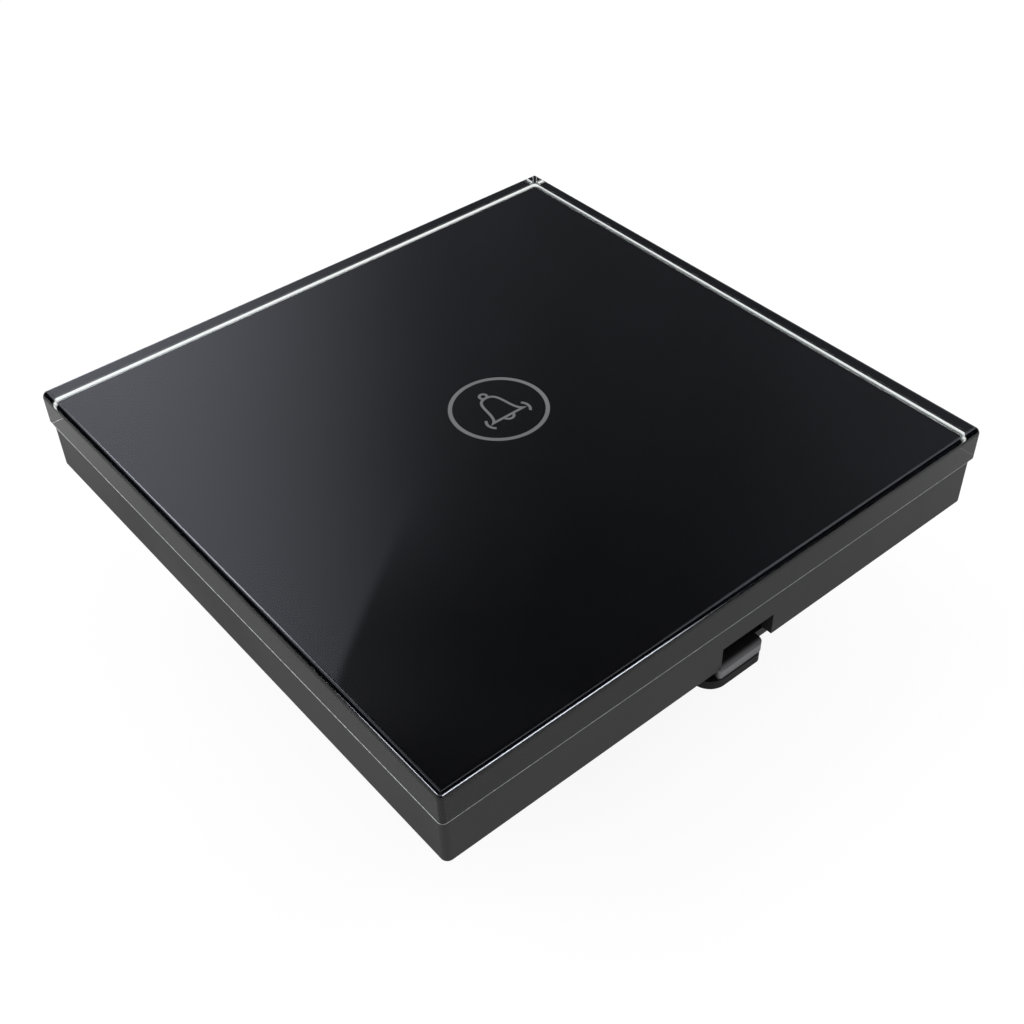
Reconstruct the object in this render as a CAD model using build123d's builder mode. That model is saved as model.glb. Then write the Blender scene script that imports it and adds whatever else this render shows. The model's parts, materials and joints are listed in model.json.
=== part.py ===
"""Flush touch doorbell switch: a glass front that snaps off a base, and a rear housing for a round wall box.

Frame: origin midway between the two wall-box screw slots, on the wall plane.
+Z points out of the wall towards the glass, +Y towards the top of the bell pictogram. Millimetres.
"""
from build123d import *
import os

os.makedirs("parts", exist_ok=True)

# Glass front
panel_side = 80.0
glass_thickness = 5.0
glass_corner_r = 0.6
glass_chamfer = 0.5
glass_arris = 0.5
print_thickness = 0.1
print_margin = 0.05
window_r = 7.5
tape_thickness = 0.3
tape_width = 5.0

# Pictogram printed on the glass
pictogram_thickness = 0.03
ring_r = 5.85
ring_stroke = 0.5
bell_stroke = 0.34
bell_half_width = 2.27
bell_waist = 1.39
bell_waist_y = 0.89
bell_crown = 2.54
bell_mouth = -1.78
loop_r = 0.46
clapper_r = 0.67
wave_r = 1.25
wave_x = 1.8
wave_sweep = 95.0
wave_tilt = 45.0

# Panel frame
glass_overhang = 0.3
frame_height = 6.1
frame_corner_r = 0.8
frame_wall = 1.8
frame_lip = 1.2
web_thickness = 2.0
web_opening_r = 4.0
notch_x = 1.9
notch_width = 7.9
notch_height = 3.1
peg_inset = 5.3
peg_y = 20.0
peg_thickness = 1.4
peg_width = 3.4
barb_thickness = 2.2
barb_height = 1.4
barb_slope = 0.5
barb_land = 0.3
barb_tip = 0.9
barb_play = 0.4

# Mounting strap
strap_thickness = 1.2
strap_corner_r = 5.0
strap_window_margin = 1.25
strap_seat_depth = 0.4
strap_seat_gap = 0.2
screw_spacing = 60.0
slot_length = 7.0
slot_width = 3.6
slot_margin = 2.0
tab_x = 0.05
tab_width = 8.4
tab_left_r = 2.4
tab_right_r = 0.9
tab_proud = 0.45

# Base carrier
rim_clearance = 0.1
carrier_thickness = 1.2
carrier_inset = 1.3
carrier_corner_r = 4.0
tongue_x = 1.1
tongue_width = 7.1
tongue_left_r = 0.4
tongue_right_r = 1.0
tongue_proud = 0.3
screw_bay_margin = 2.5
screw_bay_width = 13.0
header_slot_margin = 0.8
clip_post_r = 1.2
clip_reach = 6.0
clip_seat_height = 1.2
clip_height = 1.4
clip_stock = 0.4
clip_flare = 0.6
clip_gap = 0.1
clip_tip = 1.2
hold_down_r = 2.0
hold_down_inset = 3.0

# Touch board
board_margin = 4.0
board_clearance = 3.0
board_thickness = 1.2
board_r = 3.0
board_screw_offset = 4.5
board_post_r = 2.5
board_screw_r = 1.0
board_screw_length = 4.2
board_screw_head_r = 1.8
board_screw_head_height = 1.0
board_screw_edge_r = 0.45
board_recess_length = 2.3
board_recess_depth = 0.6
recess_width = 0.6
electrode_gap = 0.9
electrode_width = 4.6
guide_inset = 0.5
guide_height = 1.1
guide_wall = 0.8
guide_cover = 0.35
soft_gap = 0.3
lamp_spacing = 6.0
lamp_size = (2.8, 3.5)
lamp_height = 0.6
chip_at = (9.0, -12.0)
chip_size = (4.9, 3.9, 1.6)
chip_standoff = 0.15
chip_lead_spacing = 1.27
chip_lead_length = 1.0
chip_lead_width = 0.4
chip_parts_at = (-9.0, -13.0)
chip_parts_spacing = (3.4, 4.0)
chip_part_size = (2.0, 1.25)
chip_part_height = 0.6

# Rear housing
housing_side = 46.0
housing_corner_r = 10.0
housing_wall = 1.8
housing_boss_inset = 4.7
housing_boss_r = 3.3
housing_screw_r = 1.25
housing_screw_length = 12.0
housing_screw_room = 2.4
housing_screw_head_r = 2.3
housing_screw_head_height = 1.5
housing_screw_edge_r = 0.65
housing_recess_length = 3.0
housing_recess_depth = 0.9
housing_edge_r = 1.0
rib_thickness = 1.2
rib_length = 8.0
guide_tube_wall = 0.8
snout_height = 6.4
fit_gap = 0.1

# Power board and its components
power_board_sink = 4.4
power_board_thickness = 1.6
relay_size = (19.0, 15.5, 15.0)
relay_wall_gap = 1.0
relay_y = 1.0
relay_floor_gap = 1.2
transformer_size = (12.0, 12.0, 10.0)
transformer_wall_gap = 3.0
transformer_y = 0.0
film_capacitor_size = (13.0, 5.0, 11.0)
film_capacitor_at = (1.0, 15.8)
electrolytic_r = 3.15
electrolytic_height = 11.0
electrolytic_at = (12.4, 10.4)
varistor_r = 3.6
varistor_thickness = 3.4
varistor_edge_r = 1.0
varistor_at = (-10.4, 12.4)
fuse_r = 1.7
fuse_length = 9.0
fuse_edge = 0.25
fuse_at = (11.5, -8.4)
header_pins = 5
header_spacing = 2.54
header_y = 9.6
header_body = 2.5
pin_side = 0.64
pin_reach = 5.0
socket_gap = 0.2
power_board_gap = 0.2
boss_gap = 0.1
case_edge_r = 0.4
groove_height = 0.9
groove_depth = 0.35
bobbin_flange = 1.0
core_thickness = 5.0
core_leg_width = 3.2
core_window_width = 2.6
core_window_height = 6.0
winding_corner_r = 1.5

# Terminals
terminal_spacing = 8.0
terminal_count = 3
screw_r = 1.5
screw_head_r = 2.4
screw_head_height = 2.0
running_gap = 0.05
cage_width = 5.8
cage_depth = 6.0
cage_side_wall = 0.8
cage_near_wall = 1.6
cage_far_wall = 1.0
cell_gap = 0.2
cage_gap = 0.3
wire_gap = 3.2
wire_r = 1.5
clamp_travel = 3.0
bar_thickness = 1.0
bar_width = 3.6
block_floor = 1.5
block_front_wall = 2.0
block_rear_wall = 1.2
block_end_wall = 1.6
driver_hole_r = 2.1
bar_reach = 2.7
tip_chamfer = 0.4
slot_stock = 0.7
slot_depth = 1.0

# Levels, from the wall plane outwards
strap_top = strap_thickness
carrier_top = strap_top + carrier_thickness
rim_level = carrier_top + rim_clearance
frame_top = rim_level + frame_height
print_back = frame_top
glass_back = print_back + print_thickness
glass_top = glass_back + glass_thickness
tape_floor = frame_top - tape_thickness
web_back = tape_floor - web_thickness
board_top = print_back - soft_gap - guide_height
board_back = board_top - board_thickness
clip_back = carrier_top + clip_seat_height
socket_top = board_back - header_body - socket_gap

# Levels, from the wall plane into the wall
power_board_top = -power_board_sink
power_board_back = power_board_top - power_board_thickness
housing_floor = power_board_back - relay_size[2] - relay_floor_gap
housing_back = housing_floor - housing_wall
housing_top = strap_seat_depth
screw_bore_back = carrier_top - housing_screw_length - housing_screw_room
cage_far_top = power_board_back - cage_gap
wire_top = cage_far_top - cage_far_wall
bar_top = wire_top - wire_gap
bar_back = bar_top - bar_thickness
cage_near_top = bar_back - fit_gap
cage_back = cage_near_top - cage_near_wall
head_top = cage_back - clamp_travel - fit_gap
head_back = head_top - screw_head_height
block_floor_top = head_back - fit_gap
block_back = block_floor_top - block_floor
wire_level = bar_top + wire_gap / 2

# Plan sizes that follow
frame_side = panel_side - 2 * glass_overhang
frame_inside = frame_side - 2 * frame_wall
tape_side = frame_side - 2 * frame_lip
print_side = panel_side - 2 * (glass_arris + print_margin)
strap_side = screw_spacing + slot_length + 2 * slot_margin
carrier_side = frame_side - 2 * carrier_inset
peg_x = frame_inside / 2 - peg_inset
housing_inside = housing_side - 2 * housing_wall
housing_screw_spacing = housing_inside - 2 * housing_boss_inset
board_screw_spacing = housing_screw_spacing + 2 * board_screw_offset
board_side = board_screw_spacing + 2 * board_margin
web_opening = board_side + 2 * board_clearance
strap_window_r = housing_screw_r + strap_window_margin
strap_window = housing_screw_spacing + 2 * strap_window_r
screw_bay_length = slot_length + 2 * screw_bay_margin
strap_seat_side = housing_side + 2 * strap_seat_gap
hold_down_x = strap_window / 2 - hold_down_inset
tab_reach = frame_side / 2 + tab_proud
tongue_reach = frame_side / 2 + tongue_proud
guide_r = window_r - guide_inset
electrode_inner_r = guide_r + electrode_gap
electrode_outer_r = electrode_inner_r + electrode_width
component_reach = housing_inside / 2 - rib_thickness
relay_at = (relay_size[0] / 2 + relay_wall_gap - component_reach, relay_y)
transformer_at = (component_reach - transformer_wall_gap - transformer_size[0] / 2, transformer_y)
power_board_side = housing_inside - 2 * power_board_gap
power_board_cut = (power_board_side - housing_screw_spacing) / 2 + housing_boss_r + boss_gap
cell_width = cage_width + 2 * cell_gap
cell_depth = cage_depth + 2 * cell_gap
block_width = (terminal_count - 1) * terminal_spacing + cell_width + 2 * block_end_wall
block_front = fit_gap - housing_inside / 2
terminal_y = block_front + block_front_wall + cell_depth / 2
block_rear = terminal_y + cell_depth / 2 + block_rear_wall
core_window_x = (core_leg_width + core_window_width) / 2
winding_width = core_leg_width + 2 * core_window_width - 2 * fit_gap
terminal_xs = [(i - (terminal_count - 1) / 2) * terminal_spacing for i in range(terminal_count)]
corners = [(1, 1), (-1, 1), (-1, -1), (1, -1)]
barb_top = clip_back - clip_gap
clip_arm_x = peg_thickness / 2 + clip_gap + clip_stock / 2
clip_arm_reach = peg_width / 2 + clip_tip
clip_bend_r = clip_post_r + clip_gap + clip_stock / 2
clip_posts = [(side_x * peg_x, side_y * (peg_y - clip_reach)) for side_x, side_y in corners]
hold_down_legs = [(-hold_down_x, 0), (hold_down_x, 0)]
rib_places = [(side * (housing_inside - rib_thickness) / 2, 0) for side in (-1, 1)]


def finish(piece, name):
    """Label one finished piece and write it to its own file."""
    piece.part.label = name
    export_step(piece.part, f"parts/{name}.step")


def upright(x, y):
    """The vertical plane through (x, y) that is square to Y, with its own y up."""
    return Plane(origin=(x, y, 0), x_dir=(1, 0, 0), z_dir=(0, -1, 0))


# Glass front: slab with a polished chamfer round the face and a small arris round the back
with BuildPart() as glass_panel:
    with BuildSketch(Plane.XY.offset(glass_back)):
        RectangleRounded(panel_side, panel_side, glass_corner_r)
    extrude(amount=glass_thickness)
    chamfer(glass_panel.edges().group_by(Axis.Z)[-1], glass_chamfer)
    chamfer(glass_panel.edges().group_by(Axis.Z)[0], glass_arris)
finish(glass_panel, "glass_panel")

# Black print fired on the back of the glass, clear of its arris, with a round window behind the pictogram
with BuildPart() as back_print:
    with BuildSketch(Plane.XY.offset(print_back)):
        Rectangle(print_side, print_side)
        Circle(window_r, mode=Mode.SUBTRACT)
    extrude(amount=print_thickness)
finish(back_print, "back_print")

# Smoked film that closes the window in the print
with BuildPart() as window_film:
    with BuildSketch(Plane.XY.offset(print_back)):
        Circle(window_r)
    extrude(amount=print_thickness)
finish(window_film, "window_film")

# Bell in a ring, printed on the face
with BuildPart() as pictogram:
    with BuildSketch(Plane.XY.offset(glass_top)):
        Circle(ring_r + ring_stroke / 2)
        Circle(ring_r - ring_stroke / 2, mode=Mode.SUBTRACT)
        with BuildLine():
            flank = Spline(
                (0, bell_crown),
                (bell_waist, bell_waist_y),
                (bell_half_width, bell_mouth),
                tangents=((1, 0), (0.8, -0.6)),
            )
            mirror(flank, about=Plane.YZ)
            Line((-bell_half_width, bell_mouth), (bell_half_width, bell_mouth))
            CenterArc((0, bell_mouth), clapper_r, 180, 180)
            CenterArc((0, bell_crown + loop_r), loop_r, 0, 360)
            CenterArc((-wave_x, bell_mouth), wave_r, 180 - wave_tilt, wave_sweep)
            CenterArc((wave_x, bell_mouth), wave_r, wave_tilt - wave_sweep, wave_sweep)
        trace(line_width=bell_stroke)
    extrude(amount=pictogram_thickness)
finish(pictogram, "pictogram")

# Double-sided tape between the print and the frame
with BuildPart() as adhesive_tape:
    with BuildSketch(Plane.XY.offset(tape_floor)):
        RectangleRounded(tape_side, tape_side, frame_corner_r)
        inner_side = tape_side - 2 * tape_width
        RectangleRounded(inner_side, inner_side, frame_corner_r, mode=Mode.SUBTRACT)
    extrude(amount=tape_thickness)
finish(adhesive_tape, "adhesive_tape")

# Moulded frame: skirt, web that carries the glass, pry notch and four barbed pegs
with BuildPart() as panel_frame:
    with BuildSketch(Plane.XY.offset(rim_level)):
        RectangleRounded(frame_side, frame_side, frame_corner_r)
    extrude(amount=frame_height)
    with BuildSketch(Plane.XY.offset(rim_level)):
        RectangleRounded(frame_inside, frame_inside, frame_corner_r)
    extrude(amount=web_back - rim_level, mode=Mode.SUBTRACT)
    with BuildSketch(Plane.XY.offset(web_back)):
        RectangleRounded(web_opening, web_opening, web_opening_r)
    extrude(amount=frame_top - web_back, mode=Mode.SUBTRACT)
    with BuildSketch(Plane.XY.offset(tape_floor)):
        RectangleRounded(tape_side, tape_side, frame_corner_r)
    extrude(amount=tape_thickness, mode=Mode.SUBTRACT)
    with BuildSketch(Plane.XY.offset(rim_level)):
        with Locations((notch_x, -frame_side / 2)):
            Rectangle(notch_width, 3 * frame_wall)
    extrude(amount=notch_height, mode=Mode.SUBTRACT)
    for side_x, side_y in corners:
        with BuildSketch(upright(side_x * peg_x, side_y * peg_y)):
            with BuildLine():
                Polyline(
                    (0, web_back),
                    (peg_thickness / 2, web_back),
                    (peg_thickness / 2, barb_top),
                    (barb_thickness / 2, barb_top - barb_slope),
                    (barb_thickness / 2, barb_top - barb_slope - barb_land),
                    (barb_tip / 2, barb_top - barb_height),
                    (0, barb_top - barb_height),
                    close=True,
                )
            make_face()
            mirror(about=Plane.YZ)
        extrude(amount=peg_width / 2, both=True)
finish(panel_frame, "panel_frame")

# Steel mounting strap: square plate with a coined seat for the housing's rim in its back, a window,
# two slots for the wall-box screws and a tab under the notch
with BuildPart() as mounting_strap:
    with BuildSketch():
        RectangleRounded(strap_side, strap_side, strap_corner_r)
        with Locations((tab_x, -tab_reach / 2)):
            RectangleRounded(tab_width, tab_reach, tab_left_r)
        with Locations((tab_x + tab_width / 4, -tab_reach / 2)):
            RectangleRounded(tab_width / 2, tab_reach, tab_right_r)
    extrude(amount=strap_thickness)
    with BuildSketch():
        RectangleRounded(strap_seat_side, strap_seat_side, housing_corner_r + strap_seat_gap)
    extrude(amount=strap_seat_depth, mode=Mode.SUBTRACT)
    with BuildSketch():
        RectangleRounded(strap_window, strap_window, strap_window_r)
        with Locations((-screw_spacing / 2, 0), (screw_spacing / 2, 0)):
            SlotOverall(slot_length, slot_width)
    extrude(amount=strap_thickness, mode=Mode.SUBTRACT)
finish(mounting_strap, "mounting_strap")

# Moulded base carrier: plate with a pry tongue, bays for the wall-box screws, posts for the touch board,
# posts for the clips, and two legs that hold the power board down
with BuildPart() as base_carrier:
    with BuildSketch(Plane.XY.offset(strap_top)):
        RectangleRounded(carrier_side, carrier_side, carrier_corner_r)
        with Locations((tongue_x, -tongue_reach / 2)):
            RectangleRounded(tongue_width, tongue_reach, tongue_right_r)
        with Locations((tongue_x - tongue_width / 4, -tongue_reach / 2)):
            RectangleRounded(tongue_width / 2, tongue_reach, tongue_left_r)
    extrude(amount=carrier_thickness)
    with BuildSketch(Plane.XY.offset(strap_top)):
        with Locations((-screw_spacing / 2, 0), (screw_spacing / 2, 0)):
            Rectangle(screw_bay_length, screw_bay_width)
        with Locations((0, header_y)):
            header_slot = (header_pins * header_spacing, header_spacing)
            Rectangle(header_slot[0] + 2 * header_slot_margin, header_slot[1] + 2 * header_slot_margin)
        with GridLocations(housing_screw_spacing, housing_screw_spacing, 2, 2):
            Circle(housing_screw_r + fit_gap)
        with GridLocations(2 * peg_x, 2 * peg_y, 2, 2):
            Rectangle(barb_thickness + 2 * barb_play, peg_width + 2 * barb_play)
    extrude(amount=carrier_thickness, mode=Mode.SUBTRACT)
    with BuildSketch(Plane.XY.offset(carrier_top)):
        with GridLocations(board_screw_spacing, board_screw_spacing, 2, 2):
            Circle(board_post_r)
            Circle(board_screw_r + fit_gap, mode=Mode.SUBTRACT)
    extrude(amount=board_back - carrier_top)
    with BuildSketch(Plane.XY.offset(carrier_top)):
        with Locations(*clip_posts):
            Circle(clip_post_r + clip_stock + clip_gap)
    extrude(amount=clip_seat_height)
    with BuildSketch(Plane.XY.offset(clip_back)):
        with Locations(*clip_posts):
            Circle(clip_post_r)
    extrude(amount=clip_height + clip_gap)
    with BuildSketch(Plane.XY.offset(power_board_top + fit_gap)):
        with Locations(*hold_down_legs):
            Circle(hold_down_r)
    extrude(amount=strap_top - power_board_top - fit_gap)
finish(base_carrier, "base_carrier")

# Four hairpin clips of spring steel, one round each post, whose arms grip the pegs above their barbs
with BuildPart() as snap_clips:
    for side_x, side_y in corners:
        clip_origin = (side_x * peg_x, side_y * peg_y, clip_back)
        with BuildSketch(Plane(origin=clip_origin, x_dir=(side_y, 0, 0), z_dir=(0, 0, 1))):
            with BuildLine():
                arm = Polyline(
                    (clip_arm_x + clip_flare, clip_arm_reach),
                    (clip_arm_x, peg_width / 2),
                    (clip_arm_x, -peg_width / 2),
                    (clip_bend_r, -clip_reach),
                )
                mirror(arm, about=Plane.YZ)
                CenterArc((0, -clip_reach), clip_bend_r, 180, 180)
            trace(line_width=clip_stock)
        extrude(amount=clip_height)
finish(snap_clips, "snap_clips")

# Touch board on the carrier's posts
with BuildPart() as touch_board:
    with BuildSketch(Plane.XY.offset(board_back)):
        RectangleRounded(board_side, board_side, board_r)
        with GridLocations(board_screw_spacing, board_screw_spacing, 2, 2):
            Circle(board_screw_r + fit_gap, mode=Mode.SUBTRACT)
    extrude(amount=board_thickness)
finish(touch_board, "touch_board")

# Screws that hold the touch board to the posts
with BuildPart() as board_screws:
    with BuildSketch(Plane.XY.offset(board_top)):
        with GridLocations(board_screw_spacing, board_screw_spacing, 2, 2):
            Circle(board_screw_head_r)
    extrude(amount=board_screw_head_height)
    with BuildSketch(Plane.XY.offset(board_top - board_screw_length)):
        with GridLocations(board_screw_spacing, board_screw_spacing, 2, 2):
            Circle(board_screw_r)
    extrude(amount=board_screw_length)
    fillet(board_screws.edges().group_by(Axis.Z)[-1], board_screw_edge_r)
    with BuildSketch(Plane.XY.offset(board_top + board_screw_head_height)):
        with GridLocations(board_screw_spacing, board_screw_spacing, 2, 2):
            Rectangle(board_recess_length, recess_width)
            Rectangle(recess_width, board_recess_length)
    extrude(amount=-board_recess_depth, mode=Mode.SUBTRACT)
finish(board_screws, "board_screws")

# Conductive foam ring that senses the finger through the glass
with BuildPart() as touch_electrode:
    with BuildSketch(Plane.XY.offset(board_top)):
        Circle(electrode_outer_r)
        Circle(electrode_inner_r, mode=Mode.SUBTRACT)
    extrude(amount=guide_height)
finish(touch_electrode, "touch_electrode")

# Milky cap that spreads the light of the lamps behind the pictogram
with BuildPart() as light_guide:
    with BuildSketch(Plane.XY.offset(board_top)):
        Circle(guide_r)
    extrude(amount=guide_height)
    with BuildSketch(Plane.XY.offset(board_top)):
        Circle(guide_r - guide_wall)
    extrude(amount=guide_height - guide_cover, mode=Mode.SUBTRACT)
finish(light_guide, "light_guide")

# Two surface-mounted lamps under the cap
with BuildPart() as indicator_lamps:
    with BuildSketch(Plane.XY.offset(board_top)):
        with Locations((-lamp_spacing / 2, 0), (lamp_spacing / 2, 0)):
            Rectangle(*lamp_size)
    extrude(amount=lamp_height)
finish(indicator_lamps, "indicator_lamps")

# Touch controller with its eight leads, under the board
with BuildPart() as touch_chip:
    with BuildSketch(Plane.XY.offset(board_back - chip_standoff)):
        with Locations(chip_at):
            Rectangle(chip_size[0], chip_size[1])
    extrude(amount=-(chip_size[2] - chip_standoff))
    with BuildSketch(Plane.XY.offset(board_back)):
        with Locations(chip_at):
            with GridLocations(chip_lead_spacing, chip_size[1] + chip_lead_length, 4, 2):
                Rectangle(chip_lead_width, chip_lead_length)
    extrude(amount=-(chip_standoff + chip_lead_width))
finish(touch_chip, "touch_chip")

# Small resistors and capacitors under the touch board
with BuildPart() as chip_parts:
    with BuildSketch(Plane.XY.offset(board_back)):
        with Locations(chip_parts_at):
            with GridLocations(*chip_parts_spacing, 5, 2):
                Rectangle(*chip_part_size)
    extrude(amount=-chip_part_height)
finish(chip_parts, "chip_parts")

# Pin header under the touch board
with BuildPart() as board_header:
    with BuildSketch(Plane.XY.offset(board_back)):
        with Locations((0, header_y)):
            Rectangle(header_pins * header_spacing, header_spacing)
    extrude(amount=-header_body)
    with BuildSketch(Plane.XY.offset(board_back - header_body)):
        with Locations((0, header_y)):
            with GridLocations(header_spacing, 1, header_pins, 1):
                Rectangle(pin_side, pin_side)
    extrude(amount=-pin_reach)
finish(board_header, "board_header")

# Socket on the power board that takes the header's pins
with BuildPart() as board_socket:
    with BuildSketch(Plane.XY.offset(power_board_top)):
        with Locations((0, header_y)):
            Rectangle(header_pins * header_spacing, header_spacing)
            with GridLocations(header_spacing, 1, header_pins, 1):
                Rectangle(pin_side + 2 * fit_gap, pin_side + 2 * fit_gap, mode=Mode.SUBTRACT)
    extrude(amount=socket_top - power_board_top)
finish(board_socket, "board_socket")

# Rear housing: rounded box, open towards the strap, with bosses, ribs, driver guides and a terminal window
with BuildPart() as rear_housing:
    with BuildSketch(Plane.XY.offset(housing_back)):
        RectangleRounded(housing_side, housing_side, housing_corner_r)
    extrude(amount=housing_top - housing_back)
    fillet(rear_housing.edges().group_by(Axis.Z)[0], housing_edge_r)
    with BuildSketch(Plane.XY.offset(housing_floor)):
        RectangleRounded(housing_inside, housing_inside, housing_corner_r - housing_wall)
    extrude(amount=housing_top - housing_floor, mode=Mode.SUBTRACT)
    with BuildSketch(Plane.XY.offset(housing_floor)):
        with GridLocations(housing_screw_spacing, housing_screw_spacing, 2, 2):
            Circle(housing_boss_r)
    extrude(amount=housing_top - housing_floor)
    with BuildSketch(Plane.XY.offset(housing_floor)):
        with Locations(*rib_places):
            Rectangle(rib_thickness, rib_length)
    extrude(amount=power_board_back - housing_floor)
    with BuildSketch(Plane.XY.offset(housing_floor)):
        with Locations(*[(x, terminal_y) for x in terminal_xs]):
            Circle(driver_hole_r + guide_tube_wall)
    extrude(amount=block_back - fit_gap - housing_floor)
    with BuildSketch(Plane.XY.offset(housing_back)):
        with Locations(*[(x, terminal_y) for x in terminal_xs]):
            Circle(driver_hole_r)
    extrude(amount=block_back - housing_back, mode=Mode.SUBTRACT)
    with BuildSketch(Plane.XY.offset(screw_bore_back)):
        with GridLocations(housing_screw_spacing, housing_screw_spacing, 2, 2):
            Circle(housing_screw_r + fit_gap)
    extrude(amount=housing_top - screw_bore_back, mode=Mode.SUBTRACT)
    with BuildSketch(Plane.XZ.offset(housing_side / 2 - 2 * housing_wall)):
        with Locations((0, wire_level)):
            Rectangle(block_width + 2 * fit_gap, snout_height + 2 * fit_gap)
    extrude(amount=2 * housing_wall, mode=Mode.SUBTRACT)
finish(rear_housing, "rear_housing")

# Screws that draw the housing to the carrier with the strap between them
with BuildPart() as housing_screws:
    with BuildSketch(Plane.XY.offset(carrier_top)):
        with GridLocations(housing_screw_spacing, housing_screw_spacing, 2, 2):
            Circle(housing_screw_head_r)
    extrude(amount=housing_screw_head_height)
    with BuildSketch(Plane.XY.offset(carrier_top - housing_screw_length)):
        with GridLocations(housing_screw_spacing, housing_screw_spacing, 2, 2):
            Circle(housing_screw_r)
    extrude(amount=housing_screw_length)
    fillet(housing_screws.edges().group_by(Axis.Z)[-1], housing_screw_edge_r)
    with BuildSketch(Plane.XY.offset(carrier_top + housing_screw_head_height)):
        with GridLocations(housing_screw_spacing, housing_screw_spacing, 2, 2):
            Rectangle(housing_recess_length, recess_width)
            Rectangle(recess_width, housing_recess_length)
    extrude(amount=-housing_recess_depth, mode=Mode.SUBTRACT)
finish(housing_screws, "housing_screws")

# Power board, cut away at the corners for the bosses
with BuildPart() as power_board:
    with BuildSketch(Plane.XY.offset(power_board_back)):
        Rectangle(power_board_side, power_board_side)
        with GridLocations(power_board_side, power_board_side, 2, 2):
            Rectangle(2 * power_board_cut, 2 * power_board_cut, mode=Mode.SUBTRACT)
    extrude(amount=power_board_thickness)
finish(power_board, "power_board")

# Sealed relay
with BuildPart() as relay:
    with BuildSketch(Plane.XY.offset(power_board_back)):
        with Locations(relay_at):
            Rectangle(relay_size[0], relay_size[1])
    extrude(amount=-relay_size[2])
    fillet(relay.edges().filter_by(Axis.Z), case_edge_r)
    chamfer(relay.edges().group_by(Axis.Z)[0], case_edge_r)
finish(relay, "relay")

# Base of the switching transformer's bobbin
with BuildPart() as transformer_base:
    with BuildSketch(Plane.XY.offset(power_board_back)):
        with Locations(transformer_at):
            RectangleRounded(transformer_size[0], transformer_size[1], case_edge_r)
    extrude(amount=-bobbin_flange)
finish(transformer_base, "transformer_base")

# Ferrite core of the transformer, with two windows for its winding
with BuildPart() as transformer_core:
    with BuildSketch(upright(transformer_at[0], transformer_at[1])):
        core_width = transformer_size[0]
        core_middle = power_board_back - bobbin_flange - transformer_size[2] / 2
        with Locations((0, core_middle)):
            Rectangle(core_width, transformer_size[2])
            with Locations((-core_window_x, 0), (core_window_x, 0)):
                Rectangle(core_window_width, core_window_height, mode=Mode.SUBTRACT)
    extrude(amount=core_thickness / 2, both=True)
finish(transformer_core, "transformer_core")

# Taped winding round the core's middle leg
with BuildPart() as transformer_winding:
    with BuildSketch(Plane.XY.offset(core_middle - core_window_height / 2 + fit_gap)):
        with Locations(transformer_at):
            RectangleRounded(winding_width, transformer_size[1], winding_corner_r)
            Rectangle(core_leg_width + 2 * fit_gap, core_thickness + 2 * fit_gap, mode=Mode.SUBTRACT)
    extrude(amount=core_window_height - 2 * fit_gap)
finish(transformer_winding, "transformer_winding")

# Boxed film capacitor
with BuildPart() as film_capacitor:
    with BuildSketch(Plane.XY.offset(power_board_back)):
        with Locations(film_capacitor_at):
            Rectangle(film_capacitor_size[0], film_capacitor_size[1])
    extrude(amount=-film_capacitor_size[2])
    fillet(film_capacitor.edges().filter_by(Axis.Z), case_edge_r)
finish(film_capacitor, "film_capacitor")

# Electrolytic capacitor with its rolled groove
with BuildPart() as electrolytic_capacitor:
    with BuildSketch(Plane.XY.offset(power_board_back)):
        with Locations(electrolytic_at):
            Circle(electrolytic_r)
    extrude(amount=-electrolytic_height)
    fillet(electrolytic_capacitor.edges().group_by(Axis.Z)[0], case_edge_r)
    with BuildSketch(Plane.XY.offset(power_board_back - 2 * groove_height)):
        with Locations(electrolytic_at):
            Circle(electrolytic_r)
            Circle(electrolytic_r - groove_depth, mode=Mode.SUBTRACT)
    extrude(amount=groove_height, mode=Mode.SUBTRACT)
finish(electrolytic_capacitor, "electrolytic_capacitor")

# Disc varistor across the supply
with BuildPart() as varistor:
    with BuildSketch(upright(*varistor_at)):
        with Locations((0, power_board_back - varistor_r)):
            Circle(varistor_r)
    extrude(amount=varistor_thickness / 2, both=True)
    fillet(varistor.edges().filter_by(GeomType.CIRCLE), varistor_edge_r)
finish(varistor, "varistor")

# Cylindrical fuse, lying on the board
with BuildPart() as fuse:
    with BuildSketch(Plane.YZ.offset(fuse_at[0] - fuse_length / 2)):
        with Locations((fuse_at[1], power_board_back - fuse_r)):
            Circle(fuse_r)
    extrude(amount=fuse_length)
    chamfer(fuse.edges().filter_by(GeomType.CIRCLE), fuse_edge)
finish(fuse, "fuse")

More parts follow.
